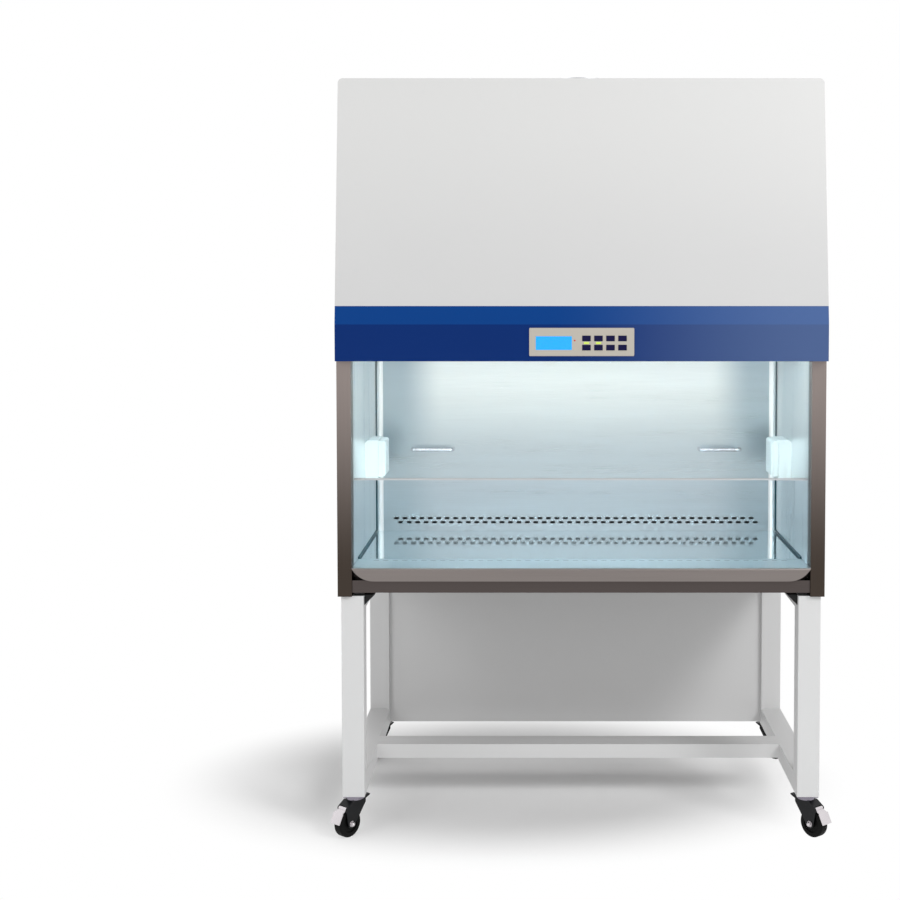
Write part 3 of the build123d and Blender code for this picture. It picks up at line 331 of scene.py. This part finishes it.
def lit_lens(name, code, strength):
    """Tinted acrylic over a lit diode, smooth, whose moulding ripples make the glow a little uneven."""
    ripple_rate = 900.0
    material, tree, face = begin(name)
    place = add(tree, "TexCoord").outputs["Object"]
    ripple = add(tree, "TexNoise", {"Vector": place, "Scale": ripple_rate}).outputs["Fac"]
    glow = add(tree, "MapRange", {"Value": ripple, "To Min": 0.8 * strength, "To Max": 1.2 * strength})
    feed(tree, face, {"Base Color": colour(code), "Emission Color": colour(code), "Roughness": 0.2})
    feed(tree, face, {"Emission Strength": glow.outputs[0]})
    return material


row_gap_z = (middle("key_1").z + middle("key_5").z) / 2
rod = [(0, -1), (0.75, -0.95), (1, -0.85), (1, 0.85), (0.75, 0.95), (0, 1)]
rod_places = [(middle(key).x, panel_face - rod_radius, row_gap_z) for key in ("key_1", "key_2")]
rods = turned(np.array(rod) * (rod_radius, rod_half), rod_places, (1, 0, 0), lens_steps)
key_lamps = piece("key_lamps", lit_lens("yellow_green_lens", "C2DE46", 0.75), rods)
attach(key_lamps, "cabinet")
dome = [(0, 0), (1, 0), (0.9, 0.4), (0.5, 0.75), (0, 0.85)]
dome_place = (middle("key_1").x - lamp_left, panel_face, row_gap_z + lamp_rise)
red_dome = turned(np.array(dome) * dome_radius, [dome_place], (0, -1, 0), lens_steps)
display_lamp = piece("display_lamp", lit_lens("red_lens", "B0242C", 0.5), red_dome)
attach(display_lamp, "cabinet")

# Front posts: folded stainless, ground along their length. Their colour holds painted light and shade:
# they are painted lighter near the hood, and painted darker lower down, as a painted reflection of the dark
# floor and the user's side.
along_x, along_y, along_z = 0, 1, 2
shaded_foot = 0.05
post_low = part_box("front_posts")[0].z
post_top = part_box("front_posts")[1].z


def brushed(name, code, along, roughness=0.3, tone=0.06, grain_mm=0.5, length_mm=60, fade=None, ends=None):
    """Bare metal, ground, drawn or plated: streaks about grain_mm wide and length_mm long run along one
    axis, and change the tone, the roughness and the height together. fade = (axis, from, to, code) paints
    light and shade into the colour: it turns the colour into a second one along that axis, as a painted
    reflection of a lamp or a dark floor. ends = (from, to, code) does the same towards both ends of the x
    axis, as a painted reflection of the side walls that stand there."""
    band_rate, band_rate_along = 24.0, 1.5
    material, tree, face = begin(name)
    place = add(tree, "TexCoord").outputs["Object"]
    fine_rates = [1000 / grain_mm / 2.5] * 3
    fine_rates[along] = 1000 / length_mm / 2.5
    fine = add(tree, "Mapping", {"Vector": place, "Scale": fine_rates}).outputs[0]
    grain = {"Vector": fine, "Scale": 1.0, "Detail": 2.0, "Roughness": 0.6}
    streaks = add(tree, "TexNoise", grain).outputs["Fac"]
    wide_rates = [band_rate] * 3
    wide_rates[along] = band_rate_along
    wide = add(tree, "Mapping", {"Vector": place, "Scale": wide_rates}).outputs[0]
    bands = add(tree, "TexNoise", {"Vector": wide, "Scale": 1.0, "Detail": 3.0}).outputs["Fac"]
    both = add(tree, "Mix", {"Factor": 0.5, "A": streaks, "B": bands}, data_type="FLOAT").outputs["Result"]
    base = colour(code)
    if fade:
        axis, start, end, second = fade
        value = add(tree, "SeparateXYZ", {0: place}).outputs[axis]
        base = shift(tree, base, value, start, end, second)
    if ends:
        start, end, second = ends
        across = add(tree, "SeparateXYZ", {0: place}).outputs["X"]
        reach = add(tree, "Math", {0: across}, operation="ABSOLUTE").outputs[0]
        base = shift(tree, base, reach, start, end, second)
    span = {"Value": both, "From Min": 0.3, "From Max": 0.7}
    shade = add(tree, "MapRange", span | {"To Min": 1 - tone, "To Max": 1 + tone}).outputs[0]
    sheen = add(tree, "MapRange", span | {"To Min": roughness - 0.05, "To Max": roughness + 0.07}).outputs[0]
    ground = add(tree, "Mix", {"Factor": 1.0, "A": base, "B": shade}, data_type="RGBA", blend_type="MULTIPLY")
    bump = add(tree, "Bump", {"Height": streaks, "Strength": 0.12, "Distance": 0.00004}).outputs[0]
    feed(tree, face, {"Base Color": ground.outputs["Result"], "Roughness": sheen, "Normal": bump})
    feed(tree, face, {"Metallic": 1.0})
    return material


post_fade = (along_z, post_low + shaded_foot, post_top, "8F8581")
post_steel = brushed("vertical_grain_stainless", "443C36", along_z, 0.38, fade=post_fade)
dress(post_steel, "front_posts")

# Armrest and base pan: a pressed stainless grille with rounded lower corners, and the pan whose front apron
# is painted dark, as painted shade under the grille. The grille's level top is painted lighter, as a painted
# highlight of the lamps' light, and its steep front isn't.
steep, level_top = 0.7, 0.95
armrest_steel = brushed("armrest_stainless", "857E7B", along_x, 0.34)
tint(armrest_steel, "Normal", "Z", steep, level_top, "D2DEE2")
dress(armrest_steel, "armrest_grille")
# Painted shade: the pan is a darker copy of the stainless, for the shade under the grille.
pan_shade_steel = brushed("pan_shaded_stainless", "554E4C", along_x, 0.4)
dress(pan_shade_steel, "base_pan")

# Work surface: one shallow stainless tray, which lies on the pan's ledges. It is polished smooth enough to
# mirror the wall's slots, with a faint grain across, and its pale cyan colour is painted light from the
# lamps' cold light.
tray_steel = brushed("work_surface_stainless", "DCE8EC", along_x, 0.08, tone=0.03)
dress(tray_steel, "work_surface")

# Rear wall and side walls: stainless sheet, ground across and up. Their colours hold painted light: a
# painted pool of the lamps' cold light at the top that turns greyer towards the work surface, and on the
# rear wall a painted reflection of the side walls that darkens it towards its ends.
grey_rise, bright_rise = 0.22, 0.54
side_grey_rise, side_bright_rise = 0.1, 0.45
mirror_start, mirror_end = 0.19, 0.05
wall_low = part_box("rear_wall")[0].z
wall_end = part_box("rear_wall")[1].x
rear_fade = (along_z, wall_low + grey_rise, wall_low + bright_rise, "FAFDFB")
rear_ends = (wall_end - mirror_start, wall_end - mirror_end, "AEBEC6")
rear_steel = brushed("rear_wall_stainless", "BECAD1", along_x, 0.3, fade=rear_fade, ends=rear_ends)
dress(rear_steel, "rear_wall")
side_fade = (along_z, wall_low + side_grey_rise, wall_low + side_bright_rise, "FDFFFF")
side_steel = brushed("side_wall_stainless", "E6EBED", along_z, 0.3, fade=side_fade)
dress(side_steel, "side_walls")

# Seam beads: dark silicone, half round, run along each side wall's foot on the work surface and up the line
# where the wall starts to bend into its rear cove. They keep spills out of the gap round the tray.
bead_radius = 0.004
bead_gap = 0.0001
wall_sheet = 0.0015
cove_radius = 0.020
bead_steps = 9
wall_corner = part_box("side_walls")[1]
bead_face = wall_corner.x - wall_sheet - bead_gap
seam_y = wall_corner.y - wall_sheet - cove_radius - bead_radius
foot_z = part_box("work_surface")[1].z + bead_radius
tray_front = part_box("work_surface")[0].y


def bead(side):
    """Half a round bar carried along the wall on one side. At angle a from -90 to 90 degrees its point is
    radius * cos a off the wall, and radius * sin a out of the path in the wall's plane. The path runs back
    along the foot and turns up at the seam, where the mitre (-1, 1) keeps its width."""
    path = np.array([(tray_front, foot_z), (seam_y, foot_z), (seam_y, wall_corner.z)])
    out = np.array([(0, 1), (-1, 1), (-1, 0)])
    angle = np.linspace(-math.pi / 2, math.pi / 2, bead_steps)
    rise = bead_radius * np.sin(angle)[:, None]
    reach = side * (bead_face - bead_radius * np.cos(angle))
    stations = np.dstack([np.tile(reach, (len(path), 1)), path[:, None] + rise * out[:, None]])
    here = np.arange(bead_steps)
    after = (here + 1) % bead_steps
    row = bead_steps * np.arange(len(path) - 1)[:, None]
    walls = np.stack([row + here, row + after, row + bead_steps + after, row + bead_steps + here], axis=-1)
    caps = np.stack([here[::-1], here + bead_steps * (len(path) - 1)])
    faces = [caps, walls.reshape(-1, 4)]
    if side < 0:
        faces = [part[:, ::-1] for part in faces]
    return stations.reshape(-1, 3), faces


silicone = satin_skin("dark_silicone", "0F3E49", 0.35, tone=0.08, grain_mm=1.0, shine=0.3)
seam_beads = piece("seam_beads", silicone, bead(-1), bead(1))
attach(seam_beads, "cabinet")

# Bars on the rear wall: short round stainless bars, bent back to the wall at both ends. They are polished
# and show hardly any grain.
rod_steel = brushed("polished_rod", "D9D2D6", along_x, 0.15, tone=0.02)
dress(rod_steel, "rear_wall_bars")

# Ceiling diffuser, plenum and motor bracket: galvanised steel sheet, whose zinc has dried in large flat
# crystals of slightly different grey.
spangle_mm = 14
zinc_sheet, tree, face = begin("galvanised_sheet")
place = add(tree, "TexCoord").outputs["Object"]
spangle = add(tree, "TexVoronoi", {"Vector": place, "Scale": 1000 / spangle_mm}).outputs["Color"]
grey = add(tree, "MapRange", {"Value": spangle, "To Min": 0.3, "To Max": 0.42}).outputs[0]
rough = add(tree, "MapRange", {"Value": spangle, "To Min": 0.35, "To Max": 0.5}).outputs[0]
feed(tree, face, {"Base Color": grey, "Roughness": rough, "Metallic": 1.0})
dress(zinc_sheet, "pressure_plenum", "motor_bracket", "ceiling_diffuser")

# Filters: white glass-fibre paper, folded into pleats that are set back in a frame. The real pleats are
# 3 mm apart, and they are drawn 2 pi times as far apart, at about 19 mm, so that they show.
pleat_mm = 3
pleated, tree, face = begin("pleated_glass_paper")
place = add(tree, "TexCoord").outputs["Object"]
folds = add(tree, "TexWave", {"Vector": place, "Scale": 1000 / pleat_mm / 20}).outputs["Fac"]
paper = add(tree, "Mix", {"Factor": folds, "A": colour("D8D8D0"), "B": colour("F2F2EC")}, data_type="RGBA")
bump = add(tree, "Bump", {"Height": folds, "Strength": 0.4, "Distance": 0.001})
feed(tree, face, {"Base Color": paper.outputs["Result"], "Normal": bump.outputs[0], "Roughness": 0.85})
dress(pleated, "filters")

# Blower: a spun aluminium impeller on a motor with a dark enamelled shell. The exhaust collar, the sash's
# rails and guides and the lamp housing have the same bright aluminium, and the sash's gearmotor has the
# motor's enamel.
fan_aluminium = brushed("spun_aluminium", "C6C8CA", along_y, 0.32)
dress(fan_aluminium, "blower_impeller", "exhaust_collar", "sash_rails", "sash_guides", "lamp_housing")
motor_enamel = satin_skin("dark_motor_enamel", "3A3D42", 0.45, tone=0.08, shine=0.3)
dress(motor_enamel, "blower_motor", "sash_drive")

# Sash: one pane of 6 mm toughened float glass with polished edges. Light passes through it unbent for
# shadows, so the work zone stays lit.
pane, tree, face = begin("toughened_float_glass")
feed(tree, face, {"Base Color": colour("FAFDFC"), "Roughness": 0.0, "IOR": 1.52, "Transmission Weight": 1.0})
shadow_ray = add(tree, "LightPath").outputs["Is Shadow Ray"]
through = add(tree, "BsdfTransparent", {"Color": colour("F2FAF8")})
mixed = add(tree, "MixShader", {0: shadow_ray, 1: face.outputs[0], 2: through.outputs[0]})
feed(tree, tree.nodes["Material Output"], {"Surface": mixed.outputs[0]})
dress(pane, "sash_glass")

# Sash ropes: two lengths of stranded wire rope, from the pulleys down to the sash's lugs.
rope_steel = brushed("stranded_wire_rope", "8A8C8E", along_z, 0.35, tone=0.2, grain_mm=1.0, length_mm=4)
dress(rope_steel, "sash_cables")
rope_radius = 0.0015
rope_steps = 16
rope_low, rope_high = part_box("sash_cables")
rope_y = (rope_low.y + rope_high.y) / 2
rope_length = rope_high.z - rope_low.z
rope = [(0, 0), (rope_radius, 0), (rope_radius, rope_length), (0, rope_length)]
rope_places = [(x, rope_y, rope_high.z) for x in (rope_low.x + rope_radius, rope_high.x - rope_radius)]
sash_ropes = piece("sash_ropes", rope_steel, turned(rope, rope_places, (0, 0, -1), rope_steps))
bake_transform(sash_ropes)
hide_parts("sash_cables")

# Zinc plated steel: the lift shaft with its two pulleys and the brake pedals have bright zinc. The castor
# mounts, each a plate with its ball race and kingpin, have a duller passivated zinc.
zinc_plate = brushed("bright_zinc_plate", "DAD5D8", along_x, 0.2, tone=0.08, length_mm=12)
dress(zinc_plate, "sash_lift_shaft", "front_left_pedal", "front_right_pedal")
mount_zinc = brushed("passivated_zinc", "8C8792", along_x, 0.25, tone=0.12, length_mm=12)
dress(mount_zinc, "castor_mounts")

# Work lamps: two white fluorescent tubes behind the fascia, lit. Their phosphor gives the work zone its
# cold light. The ultraviolet tube on the rear wall is off, and is drawn as pale, opaque and glossy.
phosphor_rate = 300.0
lit_tube, tree, face = begin("lit_phosphor_tube")
place = add(tree, "TexCoord").outputs["Object"]
phosphor = add(tree, "TexNoise", {"Vector": place, "Scale": phosphor_rate}).outputs["Fac"]
whites = {"Factor": phosphor, "A": colour("DDF4FF"), "B": colour("F0FCFF")}
glow = add(tree, "Mix", whites, data_type="RGBA").outputs["Result"]
feed(tree, face, {"Base Color": glow, "Emission Color": glow, "Emission Strength": 24.0})
dress(lit_tube, "work_lamps")
clear_tube = satin_skin("quartz_tube", "DDE6EA", 0.1, tone=0.02)
dress(clear_tube, "uv_lamp")

# Socket boxes and covers: moulded white polycarbonate with a satin face. The boxes are fixed on the side
# walls, and each cover turns on a pin between its box's two ears.
white_shell = satin_skin("white_polycarbonate", "EAF2F2", 0.35, tone=0.02, grain_mm=1.0)
dress(white_shell, "socket_boxes", "left_socket_cover", "right_socket_cover")

# Cable gland: moulded black nylon, which holds the mains lead. It is satin, and mirrors little of the
# white room.
nylon = satin_skin("black_nylon", "141414", 0.5, tone=0.1, grain_mm=1.0, shine=0.2)
dress(nylon, "power_gland")

# Stand: square steel tube, welded and powder coated a soft white, with a sheet steel panel behind and
# pressed gussets under the cabinet. The gussets are coloured near black as painted shade, for the shade
# that falls on them under the cabinet.
stand_white = satin_skin("stand_powder_coat", "E2E2E2", 0.45, grain_mm=2.0)
dress(stand_white, "stand_legs", "stand_side_rails", "stand_cross_rail", "stand_rear_panel")
gusset_painted_shade = satin_skin("gusset_painted_shade", "242424", 0.5, tone=0.1, shine=0.2)
dress(gusset_painted_shade, "leg_gussets")

# Castor forks: pressed steel with a smooth black enamel, one on the kingpin of each mount. They hold solid
# rubber wheels.
fork_enamel = satin_skin("black_fork_enamel", "0B0D10", 0.3, tone=0.2, shine=0.25)
dress(fork_enamel, "front_left_fork", "front_right_fork", "rear_left_fork", "rear_right_fork")

# Axle nuts: a washer, a hexagon and a dome of bright zinc on each end of every axle, against the fork,
# with which they swivel.
fork_half = 0.0175
washer_radius, washer_top = 0.008, 0.0012
nut_radius, nut_top = 0.0072, 0.0060
dome_foot, dome_top = 0.0052, 0.0098
round_steps = 24
hexagon_steps = 6
washer = [(0, 0), (washer_radius, 0), (washer_radius, washer_top), (0, washer_top)]
hexagon = [(0, washer_top), (nut_radius, washer_top), (nut_radius, 0.85 * nut_top)]
hexagon += [(0.88 * nut_radius, nut_top), (0, nut_top)]
cap = [(0, nut_top), (dome_foot, nut_top), (0.92 * dome_foot, 0.78 * dome_top)]
cap += [(0.6 * dome_foot, 0.94 * dome_top), (0, dome_top)]
for joint in frame["joints"]:
    if joint["name"].endswith("_wheel_roll"):
        stacks = []
        for way in (-1, 1):
            axis = way * np.array(joint["axis"])
            seat = np.array(joint["pos_m"]) + fork_half * axis
            stacks.append(turned(washer, [seat], axis, round_steps))
            stacks.append(turned(hexagon, [seat], axis, hexagon_steps))
            stacks.append(turned(cap, [seat], axis, round_steps))
        corner = joint["name"].removesuffix("_wheel_roll")
        nuts = piece(corner + "_axle_nuts", zinc_plate, *stacks)
        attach(nuts, joint["parent"])

# Wheels: solid black rubber, moulded on a hub of the same colour. The rubber is matt, and its tone is
# slightly uneven.
tyre_rubber = satin_skin("black_rubber", "0A0A0A", 0.6, tone=0.15, grain_mm=0.8, depth_mm=0.1, shine=0.12)
dress(tyre_rubber, "front_left_wheel", "front_right_wheel", "rear_left_wheel", "rear_right_wheel")

# Panel screws: pan heads of bright zinc round the edge of the rear panel, by which it comes off. They
# stand at even steps of about 165 mm.
screw_radius, screw_height = 0.0045, 0.0022
screw_inset = 0.012
screw_pitch = 0.165
screw_steps = 12
panel_low, panel_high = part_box("rear_panel")
head = np.array([(0, 0), (1, 0), (0.95, 0.5), (0.7, 0.9), (0, 1)]) * (screw_radius, screw_height)
columns = round((panel_high.x - panel_low.x - 2 * screw_inset) / screw_pitch)
rows = round((panel_high.z - panel_low.z - 2 * screw_inset) / screw_pitch)
screw_xs = np.linspace(panel_low.x + screw_inset, panel_high.x - screw_inset, columns + 1)
screw_zs = np.linspace(panel_low.z + screw_inset, panel_high.z - screw_inset, rows + 1)
screw_places = [(x, panel_high.y, z) for x in screw_xs for z in (screw_zs[0], screw_zs[-1])]
screw_places += [(x, panel_high.y, z) for x in (screw_xs[0], screw_xs[-1]) for z in screw_zs[1:-1]]
rear_panel_screws = piece("rear_panel_screws", zinc_plate, turned(head, screw_places, (0, 1, 0), screw_steps))
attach(rear_panel_screws, "cabinet")
